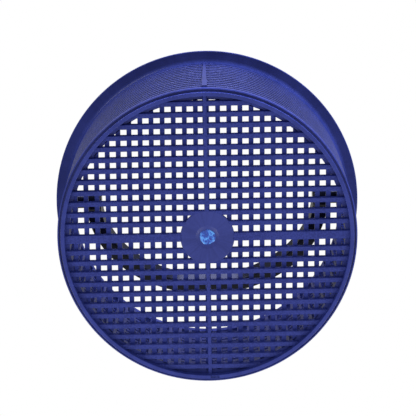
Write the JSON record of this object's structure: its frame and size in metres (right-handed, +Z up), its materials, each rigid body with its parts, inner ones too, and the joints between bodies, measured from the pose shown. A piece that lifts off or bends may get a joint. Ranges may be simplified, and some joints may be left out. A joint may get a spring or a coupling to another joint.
{
  "type": "pool skimmer basket",
  "caption": "Round slatted plastic basket that catches leaves in a pool skimmer, with a flanged rim and a swinging bail handle.",
  "frame": {"origin": "centre of the underside, on the plane of the foot ring that the basket stands on", "axes": "+Z up through the open rim, +X along the bail's pivot axis and the wide rib of the bottom, +Y towards the side that the bail leans to"},
  "size_m": [0.1832, 0.1832, 0.1475],
  "materials": {
    "basket_plastic": "satin moulded polypropylene, ultramarine blue",
    "gate_plastic": "stress-whitened azure where the sprue was broken off",
    "bail_plastic": "glossy black moulded plastic"
  },
  "bodies": {
    "basket": {"base_slats": "basket_plastic", "base_bars": "basket_plastic", "main_rib": "basket_plastic", "cross_rib": "basket_plastic", "hub_disc": "basket_plastic", "gate_stub": "gate_plastic", "floor_ring": "basket_plastic", "foot_ring": "basket_plastic", "wall_lip": "basket_plastic", "wall_rings": "basket_plastic", "wall_staves": "basket_plastic", "wall_rib_back": "basket_plastic", "wall_rib_front": "basket_plastic", "collar": "basket_plastic", "rim_flange": "basket_plastic", "pivot_lug_right": "basket_plastic", "pivot_lug_left": "basket_plastic"},
    "bail": {"bail_arch": "bail_plastic", "bail_eye_right": "bail_plastic", "bail_eye_left": "bail_plastic", "pivot_pin_right": "bail_plastic", "pivot_pin_left": "bail_plastic"}
  },
  "joints": [
    {"name": "bail_swing", "type": "hinge", "parent": "basket", "child": "bail", "pos_m": [0, 0, 0.1095], "axis": [1, 0, 0], "continuous": true}
  ]
}
